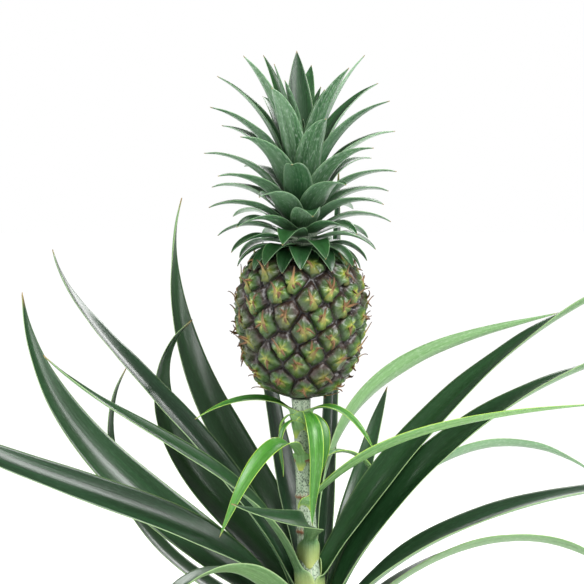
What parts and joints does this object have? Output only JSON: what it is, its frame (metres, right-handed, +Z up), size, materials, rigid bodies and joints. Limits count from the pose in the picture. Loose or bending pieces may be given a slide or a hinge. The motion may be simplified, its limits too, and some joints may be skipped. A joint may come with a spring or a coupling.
{
  "type": "potted pineapple plant",
  "caption": "Dwarf pineapple plant in a round grower's pot: long arching leaves, one stalk with a ripening fruit and a leafy crown on top.",
  "frame": {"origin": "centre of the pot's flat underside, where it stands", "axes": "+Z up along the pot's axis, -Y the front, +X the plant's right as seen from the front"},
  "size_m": [0.629, 0.5221, 0.5134],
  "materials": {
    "pot": "satin moulded polypropylene, terracotta brown",
    "soil": null,
    "stem": null,
    "rosette_leaf": null,
    "stalk_leaf": "soft glossy young leaf, bright green with yellow-green edges",
    "fruit": "waxy rind of fused eyes, green to purple-brown, with dry bract tips",
    "crown": "waxy leaf, deep green above and silvery scurf below"
  },
  "bodies": {
    "root": {"pot": "pot", "soil": "soil", "stem": "stem", "rosette_leaf_01": "rosette_leaf", "rosette_leaf_02": "rosette_leaf", "rosette_leaf_03": "rosette_leaf", "rosette_leaf_04": "rosette_leaf", "rosette_leaf_05": "rosette_leaf", "rosette_leaf_06": "rosette_leaf", "rosette_leaf_07": "rosette_leaf", "rosette_leaf_08": "rosette_leaf", "rosette_leaf_09": "rosette_leaf", "rosette_leaf_10": "rosette_leaf", "rosette_leaf_11": "rosette_leaf", "rosette_leaf_12": "rosette_leaf", "rosette_leaf_13": "rosette_leaf", "rosette_leaf_14": "rosette_leaf", "rosette_leaf_15": "rosette_leaf", "rosette_leaf_16": "rosette_leaf", "rosette_leaf_17": "rosette_leaf", "rosette_leaf_18": "rosette_leaf", "rosette_leaf_19": "rosette_leaf", "rosette_leaf_20": "rosette_leaf", "rosette_leaf_21": "rosette_leaf", "rosette_leaf_22": "rosette_leaf", "stalk_leaf_01": "stalk_leaf", "stalk_leaf_02": "stalk_leaf", "stalk_leaf_03": "stalk_leaf", "stalk_leaf_04": "stalk_leaf", "stalk_leaf_05": "stalk_leaf", "stalk_leaf_06": "stalk_leaf", "stalk_leaf_07": "stalk_leaf", "stalk_leaf_08": "stalk_leaf", "stalk_leaf_09": "stalk_leaf", "stalk_leaf_10": "stalk_leaf", "fruit": "fruit", "crown_heart": "crown", "crown_skirt": "crown", "crown_leaf_01": "crown", "crown_leaf_02": "crown", "crown_leaf_03": "crown", "crown_leaf_04": "crown", "crown_leaf_05": "crown", "crown_leaf_06": "crown", "crown_leaf_07": "crown", "crown_leaf_08": "crown", "crown_leaf_09": "crown", "crown_leaf_10": "crown", "crown_leaf_11": "crown", "crown_leaf_12": "crown", "crown_leaf_13": "crown", "crown_leaf_14": "crown", "crown_leaf_15": "crown", "crown_leaf_16": "crown", "crown_leaf_17": "crown", "crown_leaf_18": "crown", "crown_leaf_19": "crown", "crown_leaf_20": "crown", "crown_leaf_21": "crown", "crown_leaf_22": "crown"}
  },
  "joints": []
}
